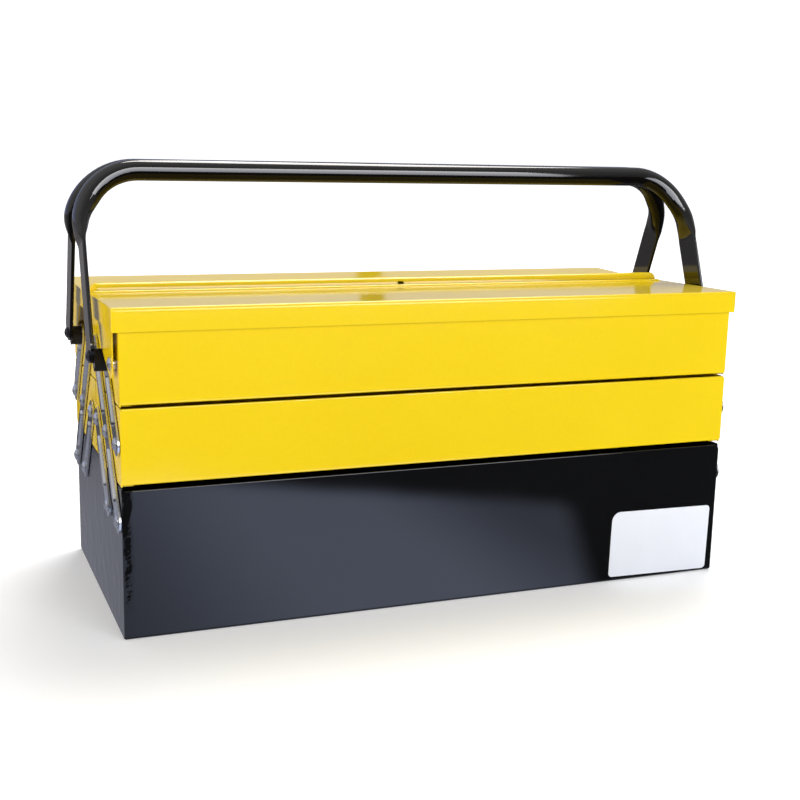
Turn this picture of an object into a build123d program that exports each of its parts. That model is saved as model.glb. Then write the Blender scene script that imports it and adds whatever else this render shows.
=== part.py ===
from build123d import *
import os
from math import asin, atan2, cos, degrees, hypot, radians, sin

os.makedirs("parts", exist_ok=True)

# Cantilever tool box of folded sheet steel.  X runs along the box, Y from the
# front to the rear, Z up.  The origin is on the ground under the middle of the
# box.  The front half is drawn; the rear half is its mirror image in y = 0, and
# the left end the mirror image of the right end in x = 0.

# ---------------------------------------------------------------- dimensions
SHEET = 0.8             # thickness of every folded panel
HALF_LEN = 220.5        # half length of the base and the trays
BEND_OUT = 2.0          # outside radius of the long bends
BEND_IN = 1.2           # inside radius of the long bends
CORNER = 2.0            # rounding of the wall corners seen from the front
HEM = 6.0               # height of the folded-over rim

BASE_Y = 97.5           # half depth of the base
BASE_Z = 97.6           # height of the base walls
BASE_END_Z = 98.4       # height of the base ends
BASE_CORNER = 4.0       # rounding of the upper corners of the base walls
TRAY_Y_OUT = 98.2       # outer wall of a tray
TRAY_Y_IN = 0.6         # inner wall of a tray
LOW_Z0, LOW_Z1 = 101.0, 149.6
UP_Z0, UP_Z1 = 151.6, 206.2
END_FLANGE = 11.0       # side flanges of an end panel
TRAY_FOOT = 7.0         # flange of an end panel under the tray floor
BASE_FOOT = 12.0        # flange of an end panel on the base floor

LID_X = 224.7           # half length of a lid
LID_Y = 99.7            # outer face of a lid skirt
SPLIT = 0.3             # half of the gap between the two lids
SKIRT_Z = 197.0         # lower edge of the lid skirts
LID_FALL = 2.1          # fall of a lid top from its outer edge to the middle
FRONT_LID_Z = 212.0     # front lid top at its outer edge
REAR_LID_Z = 210.2      # rear lid top at its outer edge
LIP = 1.1               # depth of the lip along the middle

PITCH_Y, PITCH_Z = 38.5, 49.5      # pivot lattice
B1 = (-90.0, 76.5)                 # base, long arm
B2 = (-51.5, 76.5)                 # base, lower link
M3 = (-90.0, 126.0)                # lower tray, upper link
M1 = (-51.5, 126.0)                # lower tray, long arm
M2 = (-13.0, 126.0)                # lower tray, lower link
T3 = (-51.5, 175.5)                # upper tray, upper link and handle
T1 = (-13.0, 175.5)                # upper tray, long arm
LID_PIVOT = (-86.5, 176.0)
EAR_X = 223.9           # outer face of a lid's ears, set behind its end skirt

ARM_X = 221.0           # inner face of the arms and links
ARM_T = 1.2             # their thickness
ARM_W = 15.0            # their width
BEAD_W = 6.0            # pressed rib along each strip
BEAD_H = 1.2
PIN_R = 2.5             # rivet shank
BORE_R = 2.58           # turning hole on a rivet

BAR = (-7.3, 291.0)     # axis of the handle bar
TUBE_R = 7.0            # handle tube
TUBE_WALL = 1.3
LEG_X = 228.8           # axis of the round part of a handle leg
BEND_R = 38.5           # bends between bar and legs
STRIP_W = 21.0          # flattened part of a leg
STRIP_T = 2.5
STRIP_X = 229.0         # its inner face
STRIP_END = 4.8         # below the pivot
FLAT_S = 73.0           # along the leg from the pivot, where the tube is flat
ROUND_DEG = 32.0        # angle into the bend where it is still round
# how far the tube is pressed in on its inner and outer side, at fractions of
# the way from round to flat
PRESSED = (
    (0.00, 0.0, 0.0), (0.04, 0.03, 0.0), (0.15, 0.5, 0.0), (0.31, 1.6, 0.0), (0.50, 2.95, 0.1),
    (0.69, 4.35, 0.85), (0.85, 6.3, 2.5), (0.96, 7.1, 4.0), (1.00, 7.2, 4.3),
)
FOOT_PIN = 6.2          # from the pivot to the peg that keeps handle and link together
FOOT_PIN_R = 2.0
SPACER_W = 9.0

LABEL_W, LABEL_H = 84.0, 49.2
LABEL_AT = (173.8, 27.4)
LABEL_TILT = -1.0


# ------------------------------------------------------------------- panels
def trough(y0, y1, z0, z1, floor_notch, top_corner=CORNER):
    """Floor and two long walls from one sheet, with rims folded inwards."""
    yc = (y0 + y1) / 2
    notch_z0 = z0 - 1 if floor_notch else z0 + SHEET
    notch_z1 = z1 + 1
    with BuildPart() as pan:
        with BuildSketch(Plane.YZ.offset(-HALF_LEN)) as outside:
            with Locations((yc, (z0 + z1 - SHEET) / 2)):
                Rectangle(y1 - y0, z1 - SHEET - z0)
            fillet(outside.vertices().group_by(Axis.Y)[0], BEND_OUT)
        extrude(amount=2 * HALF_LEN)
        with BuildSketch(Plane.YZ.offset(-HALF_LEN - 1)) as inside:
            with Locations((yc, (z0 + SHEET + z1 + 5) / 2)):
                Rectangle(y1 - y0 - 2 * SHEET, z1 + 5 - z0 - SHEET)
            fillet(inside.vertices().group_by(Axis.Y)[0], BEND_IN)
        extrude(amount=2 * HALF_LEN + 2, mode=Mode.SUBTRACT)
        # folded rims
        with BuildSketch(Plane.YZ.offset(-HALF_LEN)):
            with Locations((y0 + SHEET, z1 - HEM / 2), (y1 - SHEET, z1 - HEM / 2)):
                SlotOverall(HEM, 2 * SHEET, rotation=90)
        extrude(amount=2 * HALF_LEN)
        # room for the end panels between the walls
        with Locations(
            (HALF_LEN, yc, (notch_z0 + notch_z1) / 2),
            (-HALF_LEN, yc, (notch_z0 + notch_z1) / 2),
        ):
            Box(2 * SHEET, y1 - y0 - 2 * SHEET, notch_z1 - notch_z0, mode=Mode.SUBTRACT)
        # walls rounded at their corners
        with BuildSketch(Plane.XZ.offset(-(y1 + 1))) as front_view:
            with Locations((0, (z0 + z1) / 2)):
                Rectangle(2 * HALF_LEN, z1 - z0)
            fillet(front_view.vertices().group_by(Axis.Y)[-1], top_corner)
            fillet(front_view.vertices().group_by(Axis.Y)[0], CORNER)
        extrude(amount=y1 - y0 + 2, mode=Mode.INTERSECT)
    return pan


def end_panel(y0, y1, z0, z1, foot, foot_z, pins):
    """Right-hand end panel between the long walls, with flanges and a rim."""
    ya, yb = y0 + SHEET, y1 - SHEET
    yc = (ya + yb) / 2
    flange_z0, flange_z1 = z0 + SHEET + BEND_IN + 0.3, z1 - HEM - 0.3
    with BuildPart() as panel:
        with BuildSketch(Plane.YZ.offset(HALF_LEN - SHEET)):
            with Locations((yc, (foot_z + z1 - SHEET) / 2)):
                Rectangle(yb - ya, z1 - SHEET - foot_z)
            with Locations(*pins):
                Circle(PIN_R, mode=Mode.SUBTRACT)
        extrude(amount=SHEET)
        uprights = panel.edges().filter_by(Axis.Z).group_by(Axis.X)[-1]
        fillet(uprights, 0.6)
        # side flanges, spot welded inside the long walls
        with Locations(
            (HALF_LEN - SHEET - END_FLANGE / 2, ya + SHEET / 2, (flange_z0 + flange_z1) / 2),
            (HALF_LEN - SHEET - END_FLANGE / 2, yb - SHEET / 2, (flange_z0 + flange_z1) / 2),
        ):
            Box(END_FLANGE, SHEET, flange_z1 - flange_z0)
        # bottom flange
        with Locations((HALF_LEN - SHEET - foot / 2, yc, foot_z + SHEET / 2)):
            Box(foot, yb - ya - 4, SHEET)
        # folded rim
        with BuildSketch(Plane.XZ.offset(-(yb - SHEET))):
            with Locations((HALF_LEN - SHEET, z1 - HEM / 2)):
                SlotOverall(HEM, 2 * SHEET, rotation=90)
        extrude(amount=yb - ya - 2 * SHEET)
    return panel


# --------------------------------------------------------------------- lids
def lid_void(top_z, crest_y, crest_z, crest_r, crest_x):
    """Room under a lid sheet and under the rib along its inner edge."""
    inner_z = top_z - LID_FALL
    with BuildPart() as void:
        with BuildSketch(Plane.YZ.offset(-LID_X + SHEET)) as under:
            with BuildLine():
                Polyline(
                    (-LID_Y + SHEET, SKIRT_Z - 2),
                    (-LID_Y + SHEET, top_z - SHEET),
                    (1.0, inner_z - SHEET - 0.02),
                    (1.0, SKIRT_Z - 2),
                    close=True,
                )
            make_face()
            fillet(under.vertices().sort_by_distance((-LID_Y + SHEET, top_z - SHEET))[0], 1.4)
        extrude(amount=2 * (LID_X - SHEET))
        if crest_r > 4:
            with BuildSketch(Plane.YZ.offset(-crest_x)):
                with Locations((crest_y, crest_z)):
                    Circle(crest_r - SHEET)
                with Locations((crest_y, crest_z - 2)):
                    Rectangle(2 * (crest_r - SHEET), 4)
            extrude(amount=2 * crest_x)
            with Locations((crest_x, crest_y, crest_z), (-crest_x, crest_y, crest_z)):
                Sphere(crest_r - SHEET)
            with Locations((crest_x, crest_y, crest_z - 2), (-crest_x, crest_y, crest_z - 2)):
                Cylinder(crest_r - SHEET, 4)
        # lip along the middle of the box
        with Locations((0, -SPLIT - SHEET + 5, inner_z - LIP + 10)):
            Box(2 * LID_X, 10, 20, mode=Mode.SUBTRACT)
    return void


def lid_shell(top_z, crest_y, crest_z, crest_r, crest_x, void):
    """Lid sheet with skirts on three sides and a rib along its inner edge."""
    inner_z = top_z - LID_FALL
    foot_z = min(crest_z, inner_z) - 0.4
    with BuildPart() as shell:
        with BuildSketch(Plane.YZ.offset(-LID_X)) as outline:
            with BuildLine():
                Polyline(
                    (-LID_Y, SKIRT_Z),
                    (-LID_Y, top_z),
                    (-SPLIT, inner_z),
                    (-SPLIT, SKIRT_Z),
                    close=True,
                )
            make_face()
            fillet(outline.vertices().sort_by_distance((-LID_Y, top_z))[0], 2.2)
        extrude(amount=2 * LID_X)
        # end view of the top: its long edges fall away over the end skirts
        with BuildSketch(Plane.XZ.offset(-5)) as end_round:
            with Locations((0, (SKIRT_Z + top_z + 1) / 2)):
                Rectangle(2 * LID_X, top_z + 1 - SKIRT_Z)
            fillet(end_round.vertices().group_by(Axis.Y)[-1], 2.6)
        extrude(amount=LID_Y + 10, mode=Mode.INTERSECT)
        # plan view: upright corners
        with BuildSketch(Plane.XY.offset(SKIRT_Z - 1)) as plan:
            with Locations((0, -(LID_Y + SPLIT) / 2)):
                Rectangle(2 * LID_X, LID_Y - SPLIT)
            fillet(plan.vertices().group_by(Axis.Y)[0], 1.6)
        extrude(amount=30, mode=Mode.INTERSECT)
        # rib along the inner edge
        with BuildSketch(Plane.YZ.offset(-crest_x)):
            with Locations((crest_y, crest_z)):
                Circle(crest_r)
            if crest_z > foot_z + 0.5:
                with Locations((crest_y, (crest_z + foot_z) / 2)):
                    Rectangle(2 * crest_r, crest_z - foot_z)
        extrude(amount=2 * crest_x)
        with Locations((crest_x, crest_y, crest_z), (-crest_x, crest_y, crest_z)):
            Sphere(crest_r)
        if crest_z > foot_z + 0.5:
            with Locations(
                (crest_x, crest_y, (crest_z + foot_z) / 2),
                (-crest_x, crest_y, (crest_z + foot_z) / 2),
            ):
                Cylinder(crest_r, crest_z - foot_z)
        with Locations((0, -SPLIT + 10, inner_z)):
            Box(2 * LID_X + 2, 20, 40, mode=Mode.SUBTRACT)
        add(void.part, mode=Mode.SUBTRACT)
    return shell


def lid_ears():
    """Two ears spot welded behind the end skirts of a lid, for its pivots."""
    with BuildPart() as ears:
        for x0 in (EAR_X - SHEET, -EAR_X):
            with BuildSketch(Plane.YZ.offset(x0)) as ear:
                with BuildLine():
                    Polyline(
                        (-40.0, SKIRT_Z + 7),
                        (-40.0, SKIRT_Z),
                        (-46.0, SKIRT_Z - 3.5),
                        (-53.0, 181.5),
                        (-78.0, 169.8),
                        (-84.0, 167.2),
                        (-93.6, 167.2),
                        (-93.6, SKIRT_Z + 7),
                        close=True,
                    )
                make_face()
                for corner, radius in (
                    ((-46.0, SKIRT_Z - 3.5), 5.0),
                    ((-53.0, 181.5), 5.0),
                    ((-78.0, 169.8), 6.0),
                    ((-84.0, 167.2), 3.0),
                    ((-93.6, 167.2), 6.0),
                ):
                    fillet(ear.vertices().sort_by_distance(corner)[0], radius)
                with Locations(LID_PIVOT):
                    Circle(BORE_R, mode=Mode.SUBTRACT)
            extrude(amount=SHEET)
    return ears


# ---------------------------------------------------------- arms and rivets
def strip(p, q, pins, fixed_pins, ribs):
    """Right-hand arm or link from pivot p to pivot q; ribs as (start, end)
    distances from p."""
    run = hypot(q[0] - p[0], q[1] - p[1])
    uy, uz = (q[0] - p[0]) / run, (q[1] - p[1]) / run
    angle = degrees(atan2(uz, uy))
    with BuildPart() as bar:
        with BuildSketch(Plane.YZ.offset(ARM_X)):
            with Locations(((p[0] + q[0]) / 2, (p[1] + q[1]) / 2)):
                SlotCenterToCenter(run, ARM_W, rotation=angle)
            with Locations(*pins):
                Circle(BORE_R, mode=Mode.SUBTRACT)
            if fixed_pins:
                with Locations(*fixed_pins):
                    Circle(FOOT_PIN_R, mode=Mode.SUBTRACT)
        extrude(amount=ARM_T)
        for start, end in ribs:
            mid = ((start + end) / 2 * uy + p[0], (start + end) / 2 * uz + p[1])
            with BuildSketch(Plane.YZ.offset(ARM_X + ARM_T)):
                with Locations(mid):
                    SlotOverall(end - start, BEAD_W, rotation=angle)
            extrude(amount=BEAD_H, taper=30)
            with BuildSketch(Plane.YZ.offset(ARM_X)):
                with Locations(mid):
                    SlotOverall(end - start - 2, BEAD_W - 2, rotation=angle)
            extrude(amount=BEAD_H, taper=20, mode=Mode.SUBTRACT)
    return bar


def pin_profile(steps, dome_r, dome_x, dome_h):
    """Rivet turned about its own axis, from (x0, x1, radius) steps and an
    outer head domed as part of a ball."""
    rim_x = dome_x + 0.25 * dome_h
    cap = 0.75 * dome_h
    ball_r = (dome_r**2 + cap**2) / (2 * cap)
    ball_x = dome_x + dome_h - ball_r
    half_angle = asin(dome_r / ball_r) / 2
    with BuildPart() as pin:
        for x0, x1, radius in steps:
            with BuildSketch(Plane.XY.offset(x0)):
                Circle(radius)
            extrude(amount=x1 - x0)
        with BuildSketch(Plane.XZ):
            with BuildLine():
                Polyline((0, dome_x + dome_h), (0, dome_x), (dome_r, dome_x), (dome_r, rim_x))
                ThreePointArc(
                    (dome_r, rim_x),
                    (ball_r * sin(half_angle), ball_x + ball_r * cos(half_angle)),
                    (0, dome_x + dome_h),
                )
            make_face()
        revolve(axis=Axis.Z)
    return pin


def rivet_group(places):
    """Rivets of the right-hand end and their mirror images on the left."""
    with BuildPart() as group:
        for pin, (y, z) in places:
            with Locations(Location(Plane((0, y, z), x_dir=(0, 1, 0), z_dir=(1, 0, 0)))):
                add(pin.part)
        mirror(about=Plane.YZ)
    return group


def save(part, name, colour):
    part.label = name
    part.color = Color(*colour)
    export_step(part, f"parts/{name}.step")


YELLOW = (0.93, 0.72, 0.06)
BLACK = (0.05, 0.05, 0.06)
ZINC = (0.72, 0.73, 0.76)
WHITE = (0.93, 0.93, 0.92)

# --------------------------------------------------------------------- base
base_pan = trough(-BASE_Y, BASE_Y, 0.0, BASE_Z, floor_notch=False, top_corner=BASE_CORNER)
save(base_pan.part, "base_pan", BLACK)

base_pins = [B1, B2, (-B1[0], B1[1]), (-B2[0], B2[1])]
base_end = end_panel(-BASE_Y, BASE_Y, 0.0, BASE_END_Z, BASE_FOOT, SHEET, base_pins)
save(base_end.part, "base_end_right", BLACK)
with BuildPart() as base_end_left:
    add(mirror(base_end.part, about=Plane.YZ))
save(base_end_left.part, "base_end_left", BLACK)

with BuildPart() as front_label:
    with BuildSketch(Plane.XZ.offset(BASE_Y)) as sticker:
        with Locations(Location((LABEL_AT[0], LABEL_AT[1], 0), (0, 0, LABEL_TILT))):
            Rectangle(LABEL_W, LABEL_H)
        fillet(sticker.vertices().sort_by_distance((216.0, 2.0))[0], 3.0)
        fillet(sticker.vertices().sort_by_distance((216.0, 51.5))[0], 3.0)
        fillet(sticker.vertices().sort_by_distance((131.8, 3.0))[0], 3.0)
        fillet(sticker.vertices().sort_by_distance((131.8, 52.0))[0], 7.0)
    extrude(amount=0.2)
save(front_label.part, "front_label", WHITE)

# ------------------------------------------------------------------- rivets
INNER_HEAD = (218.4, HALF_LEN - SHEET, 4.0)
THROUGH_WALL = (HALF_LEN - SHEET, HALF_LEN, PIN_R)
SHOULDER = (HALF_LEN, ARM_X - 0.05, 3.6)
DOME_X = ARM_X + ARM_T + 0.05

arm_pin = pin_profile(
    [INNER_HEAD, THROUGH_WALL, SHOULDER, (ARM_X - 0.05, DOME_X, PIN_R)],
    4.4, DOME_X, 2.3,
)
lid_pin = pin_profile(
    [INNER_HEAD, THROUGH_WALL, (HALF_LEN, EAR_X - SHEET - 0.05, 3.6),
     (EAR_X - SHEET - 0.05, EAR_X + 0.05, PIN_R)],
    4.2, EAR_X + 0.05, 2.0,
)
handle_pin = pin_profile(
    [INNER_HEAD, THROUGH_WALL, SHOULDER, (ARM_X - 0.05, STRIP_X + STRIP_T + 0.05, PIN_R)],
    3.8, STRIP_X + STRIP_T + 0.05, 2.2,
)
with BuildPart() as foot_pin:
    with BuildSketch(Plane.XY.offset(ARM_X)):
        Circle(FOOT_PIN_R)
    extrude(amount=STRIP_X - ARM_X)

base_pivot_rivets = rivet_group([(arm_pin, p) for p in base_pins])
save(base_pivot_rivets.part, "base_pivot_rivets", ZINC)

# ------------------------------------------------- trays, one half of the box
lower_tray_pan = trough(-TRAY_Y_OUT, -TRAY_Y_IN, LOW_Z0, LOW_Z1, floor_notch=True)
upper_tray_pan = trough(-TRAY_Y_OUT, -TRAY_Y_IN, UP_Z0, UP_Z1, floor_notch=True)
lower_tray_end = end_panel(
    -TRAY_Y_OUT, -TRAY_Y_IN, LOW_Z0, LOW_Z1, TRAY_FOOT, LOW_Z0 - SHEET, [M1, M2, M3]
)
upper_tray_end = end_panel(
    -TRAY_Y_OUT, -TRAY_Y_IN, UP_Z0, UP_Z1, TRAY_FOOT, UP_Z0 - SHEET, [T1, T3, LID_PIVOT]
)
lower_tray_rivets = rivet_group([(arm_pin, M1), (arm_pin, M2), (arm_pin, M3)])
upper_tray_rivets = rivet_group([(arm_pin, T1), (handle_pin, T3), (lid_pin, LID_PIVOT)])

# ----------------------------------------------------------- arms and links
LINK = hypot(PITCH_Y, PITCH_Z)
U_LINK = (PITCH_Y / LINK, PITCH_Z / LINK)
FOOT_AT = (T3[0] - FOOT_PIN * U_LINK[0], T3[1] - FOOT_PIN * U_LINK[1])

arm = strip(B1, T1, [B1, M1, T1], [], [(12.5, LINK - 12.5), (LINK + 12.5, 2 * LINK - 12.5)])
lower_link = strip(B2, M2, [B2, M2], [], [(12.5, LINK - 12.5)])
upper_link = strip(M3, T3, [M3, T3], [FOOT_AT], [(12.5, LINK - 15.0)])

# ------------------------------------------------------------------- handle
LEG = hypot(BAR[0] - T3[0], BAR[1] - T3[1])
UY, UZ = (BAR[0] - T3[0]) / LEG, (BAR[1] - T3[1]) / LEG
LEAN = Plane(origin=(0, T3[0], T3[1]), x_dir=(1, 0, 0), z_dir=(0, -UZ, UY))
BEND_S = LEG - BEND_R


def bend_frame(phi):
    """Section plane of the right-hand bend, phi degrees above its lower end;
    local x points out of the bend."""
    c, d = cos(radians(phi)), sin(radians(phi))
    x, s = LEG_X - BEND_R + BEND_R * c, BEND_S + BEND_R * d
    return Plane(
        origin=(x, T3[0] + s * UY, T3[1] + s * UZ),
        x_dir=(c, d * UY, d * UZ),
        z_dir=(-d, c * UY, c * UZ),
    )


def leg_frame(s, x=LEG_X):
    """Section plane across the straight right-hand leg, s from its pivot."""
    return Plane(origin=(x, T3[0] + s * UY, T3[1] + s * UZ), x_dir=(1, 0, 0), z_dir=(0, UY, UZ))


def pressed_section(inner_in, outer_in):
    """Tube section pressed in from both sides, on its way from round to a flat
    strip."""
    outer, inner = TUBE_R - outer_in, inner_in - TUBE_R
    half_t, shift = (outer - inner) / 2, (outer + inner) / 2
    flat = min(1.0, (TUBE_R - half_t) / (TUBE_R - STRIP_T / 2) + 1e-9)
    full_w = (2 * TUBE_R**2 - STRIP_T**2 / 4) ** 0.5
    half_w = (2 * TUBE_R**2 - half_t**2) ** 0.5 * (1 + (STRIP_W / 2 / full_w - 1) * flat)
    c50, s50 = cos(radians(50)), sin(radians(50))
    a = half_t * (c50 + (1 - c50) * flat)
    b = half_w - half_t * (1 - s50 + s50 * flat)
    ThreePointArc((shift + a, b), (shift, half_w), (shift - a, b))
    if flat < 1:
        ThreePointArc((shift - a, b), (shift - half_t, 0), (shift - a, -b))
    else:
        Line((shift - a, b), (shift - a, -b))
    ThreePointArc((shift - a, -b), (shift, -half_w), (shift + a, -b))
    if flat < 1:
        ThreePointArc((shift + a, -b), (shift + half_t, 0), (shift + a, b))
    else:
        Line((shift + a, -b), (shift + a, b))


with BuildPart() as tube_bore:
    with BuildLine(LEAN) as bore_path:
        b2 = CenterArc((LEG_X - BEND_R, BEND_S), BEND_R, ROUND_DEG, 90 - ROUND_DEG)
        b3 = Line(b2 @ 1, (-LEG_X + BEND_R, LEG))
        b4 = CenterArc((-LEG_X + BEND_R, BEND_S), BEND_R, 90, 90 - ROUND_DEG)
    with BuildSketch(bend_frame(ROUND_DEG)):
        Circle(TUBE_R - TUBE_WALL)
    sweep()

with BuildPart() as pressed_leg:
    # round tube pressed flat
    start = ROUND_DEG * BEND_R * radians(1)
    run = start + BEND_S - FLAT_S
    for q, inner_in, outer_in in PRESSED:
        down = start - q * run
        frame = bend_frame(degrees(down / BEND_R)) if down > 0 else leg_frame(BEND_S + down)
        with BuildSketch(frame):
            with BuildLine():
                pressed_section(inner_in, outer_in)
            make_face()
    loft()
    rise = STRIP_W / 2 - STRIP_END
    with BuildSketch(leg_frame(rise)):
        with BuildLine():
            pressed_section(*PRESSED[-1][1:])
        make_face()
    extrude(amount=FLAT_S - rise)
    # rounded end of the strip, bored for the pivot
    with BuildSketch(Plane.YZ.offset(STRIP_X)):
        with Locations((T3[0] + rise * UY, T3[1] + rise * UZ)):
            Circle(STRIP_W / 2)
    extrude(amount=STRIP_T)
    with BuildSketch(Plane.YZ.offset(STRIP_X - 1)):
        with Locations(T3):
            Circle(BORE_R)
    extrude(amount=STRIP_T + 2, mode=Mode.SUBTRACT)

with BuildPart() as handle:
    with BuildLine(LEAN) as handle_path:
        l2 = CenterArc((LEG_X - BEND_R, BEND_S), BEND_R, ROUND_DEG, 90 - ROUND_DEG)
        l3 = Line(l2 @ 1, (-LEG_X + BEND_R, LEG))
        l4 = CenterArc((-LEG_X + BEND_R, BEND_S), BEND_R, 90, 90 - ROUND_DEG)
    with BuildSketch(bend_frame(ROUND_DEG)):
        with BuildLine():
            pressed_section(*PRESSED[0][1:])
        make_face()
    sweep(path=handle_path.wires()[0])
    add(pressed_leg.part)
    add(mirror(pressed_leg.part, about=Plane.YZ))
    add(tube_bore.part, mode=Mode.SUBTRACT)

with BuildPart() as handle_spacers:
    with BuildSketch(Plane.YZ.offset(ARM_X + ARM_T)):
        with Locations(((T3[0] + FOOT_AT[0]) / 2, (T3[1] + FOOT_AT[1]) / 2)):
            SlotCenterToCenter(FOOT_PIN, SPACER_W, rotation=degrees(atan2(PITCH_Z, PITCH_Y)))
        with Locations(T3):
            Circle(BORE_R, mode=Mode.SUBTRACT)
        with Locations(FOOT_AT):
            Circle(FOOT_PIN_R, mode=Mode.SUBTRACT)
    extrude(amount=STRIP_X - ARM_X - ARM_T)
    mirror(about=Plane.YZ)

handle_rivets = rivet_group([(foot_pin, FOOT_AT)])

# --------------------------------------------------------------------- lids
HUMP = (-3.4, 208.3, 2.9, 219.5)        # low rib of the front lid
BEAD = (-5.1, 210.9, 4.8, 217.2)        # half-round rib of the rear lid

front_lid = lid_shell(FRONT_LID_Z, *HUMP, lid_void(FRONT_LID_Z, *HUMP))
with BuildPart() as front_lid_notched:
    add(front_lid.part)
    # notch of the hasp and shallow finger notch in the rib's inner flank
    with Locations((2.2, -1.6, 212.05)):
        Box(6.6, 3.6, 4.0, mode=Mode.SUBTRACT)
    with Locations((-3.2, -1.0, 212.3)):
        Box(4.0, 2.4, 4.0, mode=Mode.SUBTRACT)

rear_lid_drawn = lid_shell(REAR_LID_Z, *BEAD, lid_void(REAR_LID_Z, *BEAD))
with BuildPart() as rear_lid_slotted:
    add(rear_lid_drawn.part)
    # slot for a padlock shackle through the rib's inner flank
    with BuildSketch(Plane.XZ.offset(-2.0)) as slot:
        with BuildLine():
            Polyline((-1.6, 208.6), (-0.7, 213.0), (3.3, 213.0), (6.0, 208.6), close=True)
        make_face()
    extrude(amount=6.0, mode=Mode.SUBTRACT)

# ------------------------------------------------------------- front and rear
half = {
    "lower_tray_pan": (lower_tray_pan.part, YELLOW),
    "lower_tray_end_right": (lower_tray_end.part, YELLOW),
    "lower_tray_end_left": (mirror(lower_tray_end.part, about=Plane.YZ), YELLOW),
    "lower_tray_rivets": (lower_tray_rivets.part, ZINC),
    "upper_tray_pan": (upper_tray_pan.part, YELLOW),
    "upper_tray_end_right": (upper_tray_end.part, YELLOW),
    "upper_tray_end_left": (mirror(upper_tray_end.part, about=Plane.YZ), YELLOW),
    "upper_tray_rivets": (upper_tray_rivets.part, ZINC),
    "arm_right": (arm.part, ZINC),
    "arm_left": (mirror(arm.part, about=Plane.YZ), ZINC),
    "lower_link_right": (lower_link.part, ZINC),
    "lower_link_left": (mirror(lower_link.part, about=Plane.YZ), ZINC),
    "upper_link_right": (upper_link.part, ZINC),
    "upper_link_left": (mirror(upper_link.part, about=Plane.YZ), ZINC),
    "handle": (handle.part, BLACK),
    "handle_spacers": (handle_spacers.part, BLACK),
    "handle_rivets": (handle_rivets.part, ZINC),
    "lid_ears": (lid_ears().part, YELLOW),
}
for piece, (shape, colour) in half.items():
    with BuildPart() as front_piece:
        add(shape)
    save(front_piece.part, f"front_{piece}", colour)
    with BuildPart() as rear_piece:
        add(mirror(shape, about=Plane.XZ))
    save(rear_piece.part, f"rear_{piece}", colour)

save(front_lid_notched.part, "front_lid", YELLOW)
with BuildPart() as rear_lid:
    add(mirror(rear_lid_slotted.part, about=Plane.XZ))
save(rear_lid.part, "rear_lid", YELLOW)
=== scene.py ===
import math

import bpy
from mathutils import Matrix, Vector

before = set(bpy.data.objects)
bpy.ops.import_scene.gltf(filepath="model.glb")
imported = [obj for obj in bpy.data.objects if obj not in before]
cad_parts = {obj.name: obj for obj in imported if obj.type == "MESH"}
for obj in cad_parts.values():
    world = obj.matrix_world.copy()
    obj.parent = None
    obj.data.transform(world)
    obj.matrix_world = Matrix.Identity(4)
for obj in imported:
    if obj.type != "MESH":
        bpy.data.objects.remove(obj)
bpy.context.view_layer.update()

scene = bpy.context.scene
scene.view_settings.view_transform = "Standard"
scene.view_settings.look = "None"
scene.view_settings.exposure = 0.0
scene.view_settings.gamma = 1.0

# ------------------------------------------------------------------- camera
AZ, PITCH, ROLL = math.radians(22.042), math.radians(11.512), math.radians(1.3327)
fwd = Vector((math.sin(AZ) * math.cos(PITCH), math.cos(AZ) * math.cos(PITCH), -math.sin(PITCH)))
side = Vector((math.cos(AZ), -math.sin(AZ), 0.0))
up = side.cross(fwd)
cam_x = side * math.cos(ROLL) + up * math.sin(ROLL)
cam_y = up * math.cos(ROLL) - side * math.sin(ROLL)
cam_data = bpy.data.cameras.new("camera")
cam_data.sensor_fit = "HORIZONTAL"
cam_data.sensor_width = 36.0
cam_data.lens = 56.83
cam_data.clip_start = 0.02
cam_data.clip_end = 60.0
camera = bpy.data.objects.new("camera", cam_data)
m = Matrix.Identity(4)
for i in range(3):
    m[i][0], m[i][1], m[i][2] = cam_x[i], cam_y[i], -fwd[i]
m[0][3], m[1][3], m[2][3] = -0.34441, -0.85782, 0.31253
camera.matrix_world = m
scene.collection.objects.link(camera)
scene.camera = camera


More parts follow.
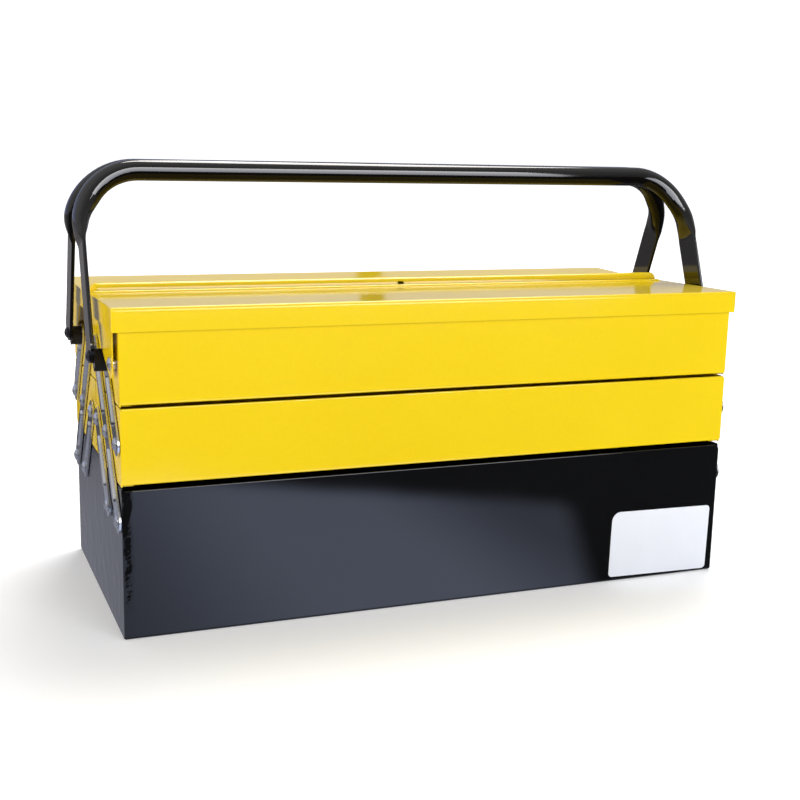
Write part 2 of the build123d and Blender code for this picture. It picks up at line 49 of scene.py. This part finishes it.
# ------------------------------------------------------------- node helpers
class Mat:
    """A node material: a principled shader and short calls for its inputs."""

    def __init__(self, name, scale=1.0):
        self.mat = bpy.data.materials.new(name)
        self.mat.use_nodes = True
        self.nt = self.mat.node_tree
        self.nt.nodes.clear()
        self.out = self.nt.nodes.new("ShaderNodeOutputMaterial")
        self.sh = self.nt.nodes.new("ShaderNodeBsdfPrincipled")
        self.nt.links.new(self.sh.outputs[0], self.out.inputs[0])
        self.tc = self.nt.nodes.new("ShaderNodeTexCoord")
        self.normal = None

    def put(self, socket, value):
        target = self.sh.inputs[socket]
        if isinstance(value, bpy.types.NodeSocket):
            self.nt.links.new(value, target)
        else:
            target.default_value = value

    def feed(self, target, value):
        if isinstance(value, bpy.types.NodeSocket):
            self.nt.links.new(value, target)
        else:
            target.default_value = value

    def space(self, scale=(1, 1, 1), rot=(0, 0, 0), loc=(0, 0, 0)):
        n = self.nt.nodes.new("ShaderNodeMapping")
        n.inputs["Scale"].default_value = scale
        n.inputs["Rotation"].default_value = rot
        n.inputs["Location"].default_value = loc
        self.nt.links.new(self.tc.outputs["Object"], n.inputs[0])
        return n.outputs[0]

    def xyz(self):
        n = self.nt.nodes.new("ShaderNodeSeparateXYZ")
        self.nt.links.new(self.tc.outputs["Object"], n.inputs[0])
        return n.outputs

    def noise(self, scale, detail=3.0, rough=0.5, vector=None, distortion=0.0, dims=None):
        n = self.nt.nodes.new("ShaderNodeTexNoise")
        n.inputs["Scale"].default_value = scale
        n.inputs["Detail"].default_value = detail
        n.inputs["Roughness"].default_value = rough
        n.inputs["Distortion"].default_value = distortion
        self.nt.links.new(vector if vector is not None else self.tc.outputs["Object"], n.inputs["Vector"])
        return n.outputs["Fac"]

    def voronoi(self, scale, vector=None, feature="F1"):
        n = self.nt.nodes.new("ShaderNodeTexVoronoi")
        n.feature = feature
        n.inputs["Scale"].default_value = scale
        self.nt.links.new(vector if vector is not None else self.tc.outputs["Object"], n.inputs["Vector"])
        return n.outputs["Distance"]

    def remap(self, value, a, b, c=0.0, d=1.0, smooth=True):
        n = self.nt.nodes.new("ShaderNodeMapRange")
        n.interpolation_type = "SMOOTHSTEP" if smooth else "LINEAR"
        n.inputs["From Min"].default_value = a
        n.inputs["From Max"].default_value = b
        n.inputs["To Min"].default_value = c
        n.inputs["To Max"].default_value = d
        self.nt.links.new(value, n.inputs["Value"])
        return n.outputs["Result"]

    def math(self, op, a, b=0.0, c=None, clamp=False):
        n = self.nt.nodes.new("ShaderNodeMath")
        n.operation = op
        n.use_clamp = clamp
        self.feed(n.inputs[0], a)
        self.feed(n.inputs[1], b)
        if c is not None:
            self.feed(n.inputs[2], c)
        return n.outputs[0]

    def mix(self, fac, a, b, blend="MIX"):
        n = self.nt.nodes.new("ShaderNodeMix")
        n.data_type = "RGBA"
        n.blend_type = blend
        self.feed(n.inputs["Factor"], fac)
        colour = [s for s in n.inputs if s.type == "RGBA"]
        for socket, v in zip(colour, (a, b)):
            if isinstance(v, bpy.types.NodeSocket):
                self.nt.links.new(v, socket)
            else:
                socket.default_value = (*v, 1.0)
        return [s for s in n.outputs if s.type == "RGBA"][0]

    def bump(self, height, strength, distance):
        n = self.nt.nodes.new("ShaderNodeBump")
        n.inputs["Strength"].default_value = strength
        n.inputs["Distance"].default_value = distance
        self.nt.links.new(height, n.inputs["Height"])
        if self.normal is not None:
            self.nt.links.new(self.normal, n.inputs["Normal"])
        self.normal = n.outputs["Normal"]
        self.nt.links.new(self.normal, self.sh.inputs["Normal"])


def scratches(m, angle, scale=260.0, low=0.66, high=0.72):
    """Fine hairlines running one way: a stretched noise cut to its ridges."""
    v = m.space(scale=(1.0, 0.05, 0.05), rot=(0.35, 0.5, angle))
    return m.remap(m.noise(scale, 4.0, 0.6, v), low, high)


def nt_ao(m):
    """How open the surface is within 3 mm: small in seams and under hems."""
    n = m.nt.nodes.new("ShaderNodeAmbientOcclusion")
    n.samples = 8
    n.inputs["Distance"].default_value = 0.003
    return n.outputs["AO"]


def enamel(name, tone_a, tone_b, rough, wave, peel, spec=0.5, ior=1.5, crevice_shade=False):
    """Sprayed glossy enamel: slow tone drift, panel waves, orange peel, dust
    nibs, hairlines and rubbed patches."""
    m = Mat(name)
    drift = m.remap(m.noise(7.0, 2.0), 0.35, 0.68)
    fine = m.noise(420.0, 2.0)
    colour = m.mix(m.math("MULTIPLY", drift, 0.85), tone_a, tone_b)
    colour = m.mix(m.remap(fine, 0.30, 0.75, 0.0, 0.10), colour, tuple(c * 0.86 for c in tone_a))
    # painted shade: where the surface is closed in within 3 mm, in seams, crevices and under the lid skirts, the
    # enamel colour is darkened towards 30% of its tone
    if crevice_shade:
        near = nt_ao(m)
        painted_shade_amount = m.remap(near, 0.42, 0.82, 0.75, 0.0)
        colour = m.mix(painted_shade_amount, colour, tuple(c * 0.30 for c in tone_a))
    m.put("Base Color", colour)
    hair = scratches(m, 0.2)
    hair2 = scratches(m, 1.35, 300.0, 0.68, 0.735)
    rub = m.remap(m.noise(22.0, 4.0, 0.6), 0.56, 0.72)
    r = m.math("MULTIPLY_ADD", rub, 0.03, rough)
    r = m.math("MULTIPLY_ADD", m.math("MAXIMUM", hair, hair2), 0.03, r)
    r = m.math("MULTIPLY_ADD", fine, 0.02, r, clamp=True)
    m.put("Roughness", r)
    m.sh.inputs["IOR"].default_value = ior
    m.sh.inputs["Specular IOR Level"].default_value = spec
    m.bump(m.noise(11.0, 2.0, 0.45), 1.0, wave)
    m.bump(m.noise(620.0, 3.0, 0.55), 0.35, peel)
    nib = m.remap(m.voronoi(150.0), 0.0, 0.045, 1.0, 0.0)
    m.bump(nib, 0.2, 0.00002)
    return m


# --------------------------------------------------------------- materials
yellow = enamel("yellow_enamel", (0.862, 0.622, 0.007), (0.888, 0.652, 0.009), 0.10, 0.00016, 0.000004, 0.45, crevice_shade=True)
black = enamel("black_enamel", (0.0032, 0.0034, 0.0042), (0.0042, 0.0045, 0.0054), 0.06, 0.00020, 0.000004)
tube = enamel("black_tube_enamel", (0.0026, 0.0024, 0.0028), (0.0040, 0.0036, 0.0038), 0.06, 0.00006, 0.000006, 0.36)

# painted highlight: the tubes' specular level is raised on up-facing surfaces and along their flat outer faces and
# lowered underneath, so their tops shine brighter and their undersides mirror less
tn = tube.nt.nodes.new("ShaderNodeSeparateXYZ")
tube.nt.links.new(tube.nt.nodes.new("ShaderNodeTexCoord").outputs["Normal"], tn.inputs[0])
painted_top_sheen = tube.remap(tn.outputs[2], -0.45, 0.60, 0.12, 0.90)
painted_face_sheen = tube.remap(tube.math("ABSOLUTE", tn.outputs[0]), 0.90, 0.99, 0.0, 0.32)
tube.put("Specular IOR Level", tube.math("ADD", painted_top_sheen, painted_face_sheen, clamp=True))

# the black panels roll off a little, unevenly, beside their upright corners
px, py, pz = black.xyz()
ragged = black.math("MULTIPLY_ADD", black.noise(70.0, 4.0, 0.6, black.space(scale=(0.6, 1.0, 1.0))), 0.006, black.math("ABSOLUTE", px))
roll = black.remap(ragged, 0.2165, 0.2242, 1.0, 0.0)
black.bump(roll, 1.0, 0.0011)


def zinc(name, angle):
    """Bright zinc plating: faint rolling streaks along the strip, cloudy
    passivation, rubbed spots."""
    m = Mat(name)
    along = m.space(scale=(1.0, 0.03, 1.0), rot=(-angle, 0, 0))
    streak = m.noise(900.0, 3.0, 0.6, along)
    cloud = m.noise(60.0, 4.0, 0.6)
    spots = m.remap(m.noise(240.0, 3.0, 0.65), 0.60, 0.72)
    colour = m.mix(m.remap(cloud, 0.35, 0.7), (0.66, 0.67, 0.70), (0.82, 0.83, 0.86))
    colour = m.mix(m.math("MULTIPLY", spots, 0.35), colour, (0.42, 0.43, 0.45))
    m.put("Base Color", colour)
    m.sh.inputs["Metallic"].default_value = 1.0
    r = m.math("MULTIPLY_ADD", streak, 0.16, 0.17)
    r = m.math("MULTIPLY_ADD", spots, 0.18, r, clamp=True)
    m.put("Roughness", r)
    m.bump(streak, 0.18, 0.00002)
    m.bump(m.noise(120.0, 2.0), 0.25, 0.00005)
    return m


LEAN = math.atan2(49.5, 38.5)
zinc_front = zinc("zinc_strip_front", LEAN)
zinc_rear = zinc("zinc_strip_rear", math.pi - LEAN)
zinc_rivet = zinc("zinc_rivet", 0.0)


def painted_heads(m, start):
    """The heads outside the handle strips are enamelled black with them."""
    rx, ry, rz = m.xyz()
    paint = m.remap(m.math("ABSOLUTE", rx), start, start + 0.0003, smooth=False)
    bare = m.sh.inputs["Base Color"].links[0].from_socket
    m.put("Base Color", m.mix(paint, bare, (0.012, 0.010, 0.016)))
    m.put("Metallic", m.math("SUBTRACT", 1.0, paint))
    gloss = m.sh.inputs["Roughness"].links[0].from_socket
    m.put("Roughness", m.math("MULTIPLY", gloss, m.remap(paint, 0.0, 1.0, 1.0, 0.6)))


painted_heads(zinc_rivet, 0.2313)

plastic = Mat("black_plastic")
plastic.put("Base Color", plastic.mix(plastic.noise(90.0), (0.006, 0.006, 0.007), (0.014, 0.014, 0.015)))
plastic.put("Roughness", plastic.remap(plastic.noise(260.0, 4.0), 0.3, 0.7, 0.38, 0.55))
plastic.bump(plastic.noise(1500.0, 2.0), 0.3, 0.00003)
plastic.sh.inputs["Specular IOR Level"].default_value = 0.25

label = Mat("label_film")
label.put("Base Color", label.mix(label.noise(35.0, 4.0), (0.81, 0.85, 0.94), (0.86, 0.90, 0.99)))
label.put("Roughness", label.remap(label.noise(120.0, 4.0), 0.3, 0.7, 0.34, 0.48))
label.bump(label.noise(45.0, 3.0), 0.5, 0.00012)
label.bump(label.noise(2200.0, 2.0), 0.15, 0.00002)

for name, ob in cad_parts.items():
    if name.startswith("base_pan") or name.startswith("base_end"):
        mat = black
    elif name == "front_label":
        mat = label
    elif name.endswith("_handle"):
        mat = tube
    elif name.endswith("_spacers"):
        mat = plastic
    elif name.endswith("_rivets"):
        mat = zinc_rivet
    elif "_arm_" in name or "_link_" in name:
        mat = zinc_front if name.startswith("front") else zinc_rear
    else:
        mat = yellow
    if not ob.material_slots:
        ob.data.materials.append(mat.mat)
    for s in ob.material_slots:
        s.material = mat.mat

# -------------------------------------------------------------------- stage
def mesh_object(name, verts, faces):
    me = bpy.data.meshes.new(name)
    me.from_pydata(verts, [], faces)
    me.update()
    ob = bpy.data.objects.new(name, me)
    scene.collection.objects.link(ob)
    return ob


floor_mat = Mat("pale_floor")
floor_mat.put("Base Color", floor_mat.mix(floor_mat.noise(3.0, 2.0), (0.80, 0.82, 0.85), (0.83, 0.85, 0.88)))
floor_mat.sh.inputs["Roughness"].default_value = 0.8
floor_mat.sh.inputs["Specular IOR Level"].default_value = 0.1
floor_mat.sh.inputs["Emission Color"].default_value = (1.0, 1.0, 1.0, 1.0)
fx, fy, fz = floor_mat.xyz()
radius = floor_mat.math("SQRT", floor_mat.math("MULTIPLY_ADD", fx, fx, floor_mat.math("MULTIPLY", fy, fy)))
floor_mat.put("Emission Strength", floor_mat.remap(radius, 0.40, 1.4, 0.27, 0.78))

S = 12.0
floor = mesh_object("floor", [(-S, -S, 0), (S, -S, 0), (S, S, 0), (-S, S, 0)], [(0, 1, 2, 3)])
floor.data.materials.append(floor_mat.mat)
floor.visible_glossy = False

# painted reflection: a glowing sheet under the floor, seen only in the gloss, stands in for a lit table top in front
# of the box with the dim room past its edges
reflection_sheet_mat = Mat("painted_reflection_sheet")
nt = reflection_sheet_mat.nt
tx, ty, tz = reflection_sheet_mat.xyz()
# painted reflection: a bright patch in front of the box that fades to the sides, near black to the right, to the
# front and at the far left
skew = reflection_sheet_mat.math("MULTIPLY_ADD", ty, 0.47, tx)
right = reflection_sheet_mat.remap(skew, 0.055, 0.085, 1.0, 0.0)
lift = reflection_sheet_mat.math("MULTIPLY_ADD", tx, 0.57, reflection_sheet_mat.math("MULTIPLY", ty, -1.0))
front = reflection_sheet_mat.remap(lift, 0.375, 0.450, 1.0, 0.0)
left = reflection_sheet_mat.remap(tx, -0.236, -0.06, 0.40, 1.0)
fall = reflection_sheet_mat.remap(tx, 0.02, 0.16, 1.0, 0.42)
glow = reflection_sheet_mat.math("MULTIPLY", reflection_sheet_mat.math("MULTIPLY", right, front), reflection_sheet_mat.math("MULTIPLY", left, fall))
edge = reflection_sheet_mat.remap(tx, -0.248, -0.236, 0.0, 1.0)
shade = reflection_sheet_mat.mix(reflection_sheet_mat.math("MULTIPLY", glow, edge), (0.04, 0.04, 0.04), (1.42, 1.62, 2.20))
# painted reflection of the dim room behind the box, with a dark band across it
behind = reflection_sheet_mat.mix(reflection_sheet_mat.remap(ty, 0.15, 0.50), (0.30, 0.31, 0.37), (0.24, 0.24, 0.28))
behind = reflection_sheet_mat.mix(reflection_sheet_mat.remap(ty, 0.34, 0.50), behind, (0.05, 0.05, 0.05))
behind = reflection_sheet_mat.mix(reflection_sheet_mat.remap(ty, 0.64, 0.80), behind, (0.26, 0.25, 0.26))
shade = reflection_sheet_mat.mix(reflection_sheet_mat.remap(ty, -0.110, -0.097), shade, behind)
emit = nt.nodes.new("ShaderNodeEmission")
nt.links.new(shade, emit.inputs["Color"])
nt.links.new(emit.outputs[0], reflection_sheet_mat.out.inputs[0])
reflection_sheet = mesh_object("painted_reflection_sheet", [(-S, -S, -0.002), (S, -S, -0.002), (S, S, -0.002), (-S, S, -0.002)], [(0, 1, 2, 3)])
reflection_sheet.data.materials.append(reflection_sheet_mat.mat)

dark_reflection_mat = Mat("dark_flag")
dark_reflection_mat.put("Base Color", dark_reflection_mat.mix(dark_reflection_mat.noise(2.0), (0.010, 0.010, 0.010), (0.014, 0.014, 0.014)))
dark_reflection_mat.sh.inputs["Roughness"].default_value = 0.9
dark_reflection_mat.sh.inputs["Specular IOR Level"].default_value = 0.1


def flag(name, azimuth, spread, distance, z0, z1):
    """A narrow dark board far behind the box, seen only in its gloss: it paints a dark reflection band on the lid
    tops.
    """
    a, b = math.radians(azimuth - spread / 2), math.radians(azimuth + spread / 2)
    p, q = (distance * math.sin(a), distance * math.cos(a)), (distance * math.sin(b), distance * math.cos(b))
    ob = mesh_object(name, [(*p, z0), (*q, z0), (*q, z1), (*p, z1)], [(0, 1, 2, 3)])
    ob.data.materials.append(dark_reflection_mat.mat)
    return ob


boards = [flag("far_board", 20.4, 1.3, 6.0, 0.0, 4.5)]

# a white board in front that glows and that only the gloss of the tubes picks up: it paints the highlight stripe
# along the tubes
tube_highlight_mat = Mat("tube_highlight_board")
glowing = tube_highlight_mat.nt.nodes.new("ShaderNodeEmission")
glowing.inputs["Color"].default_value = (0.92, 0.93, 1.0, 1.0)
glowing.inputs["Strength"].default_value = 7.5
tube_highlight_mat.nt.links.new(glowing.outputs[0], tube_highlight_mat.out.inputs[0])
board = mesh_object("tube_highlight_board", [(-0.11, -0.8, 0.14), (0.57, -0.8, 0.14), (0.57, -0.8, 0.62), (-0.11, -0.8, 0.62)], [(0, 1, 2, 3)])
board.data.materials.append(tube_highlight_mat.mat)
boards.append(board)
for ob in [reflection_sheet] + boards:
    ob.visible_camera = False
    ob.visible_diffuse = False
    ob.visible_shadow = False
    ob.visible_transmission = False

# -------------------------------------------------------------------- light
world = bpy.data.worlds.new("studio")
scene.world = world
world.use_nodes = True
wn = world.node_tree
wn.nodes.clear()


def wnode(kind, **inputs):
    n = wn.nodes.new(kind)
    for key, value in inputs.items():
        socket = n.inputs[key] if not key.startswith("i") else n.inputs[int(key[1:])]
        if isinstance(value, bpy.types.NodeSocket):
            wn.links.new(value, socket)
        else:
            socket.default_value = value
    return n


def wmath(op, a, b, c=0.0):
    n = wnode("ShaderNodeMath", i0=a, i1=b, i2=c)
    n.operation = op
    return n.outputs[0]


def wramp(value, a, b, c, d):
    n = wn.nodes.new("ShaderNodeMapRange")
    n.interpolation_type = "SMOOTHSTEP"
    for key, v in (("From Min", a), ("From Max", b), ("To Min", c), ("To Max", d)):
        n.inputs[key].default_value = v
    wn.links.new(value, n.inputs["Value"])
    return n.outputs["Result"]


wout = wn.nodes.new("ShaderNodeOutputWorld")
direction = wn.nodes.new("ShaderNodeTexCoord").outputs["Generated"]
split = wnode("ShaderNodeSeparateXYZ", i0=direction)
dx, dy, dz = split.outputs
back = wramp(dy, 0.15, 0.75, 0.0, 0.10)
low = wramp(dz, 0.25, 0.80, 1.0, 0.20)
strength = wmath("MULTIPLY_ADD", back, low, wramp(dx, -0.9, 0.9, 0.60, 0.42))
strength = wmath("MULTIPLY", strength, wramp(dy, -0.85, -0.15, 0.60, 1.0))
tint = wn.nodes.new("ShaderNodeMix")
tint.data_type = "RGBA"
hues = [s for s in tint.inputs if s.type == "RGBA"]
hues[0].default_value = (1.0, 0.99, 0.97, 1.0)
hues[1].default_value = (0.61, 0.68, 0.98, 1.0)
wn.links.new(wmath("MULTIPLY", wramp(dy, 0.15, 0.75, 0.0, 1.0), low), tint.inputs["Factor"])
dim = wnode("ShaderNodeBackground", Color=[s for s in tint.outputs if s.type == "RGBA"][0], Strength=strength)
plain = wnode("ShaderNodeBackground", Color=(1.0, 1.0, 1.0, 1.0), Strength=1.05)
seen = wn.nodes.new("ShaderNodeLightPath").outputs["Is Camera Ray"]
both = wnode("ShaderNodeMixShader", i0=seen, i1=dim.outputs[0], i2=plain.outputs[0])
wn.links.new(both.outputs[0], wout.inputs[0])


def area(name, at, aim, size, power, tint=(1, 1, 1)):
    data = bpy.data.lights.new(name, "AREA")
    data.shape = "RECTANGLE"
    data.size, data.size_y = size
    data.energy = power
    data.color = tint
    ob = bpy.data.objects.new(name, data)
    ob.location = at
    ob.rotation_mode = "QUATERNION"
    ob.rotation_quaternion = (Vector(aim) - Vector(at)).to_track_quat("-Z", "Y")
    scene.collection.objects.link(ob)
    return ob


area("key", (0.65, -2.35, 1.40), (0, 0, 0.15), (1.5, 0.6), 23.5)
fill = area("left_fill", (-1.75, -0.45, 0.30), (-0.2, 0, 0.15), (0.8, 0.8), 10.5, (1.0, 0.76, 0.42))
fill.visible_glossy = False
area("overhead", (0.55, 0.78, 2.0), (0.1, 0, 0.2), (1.2, 1.2), 42.0, (1.0, 0.965, 0.925))
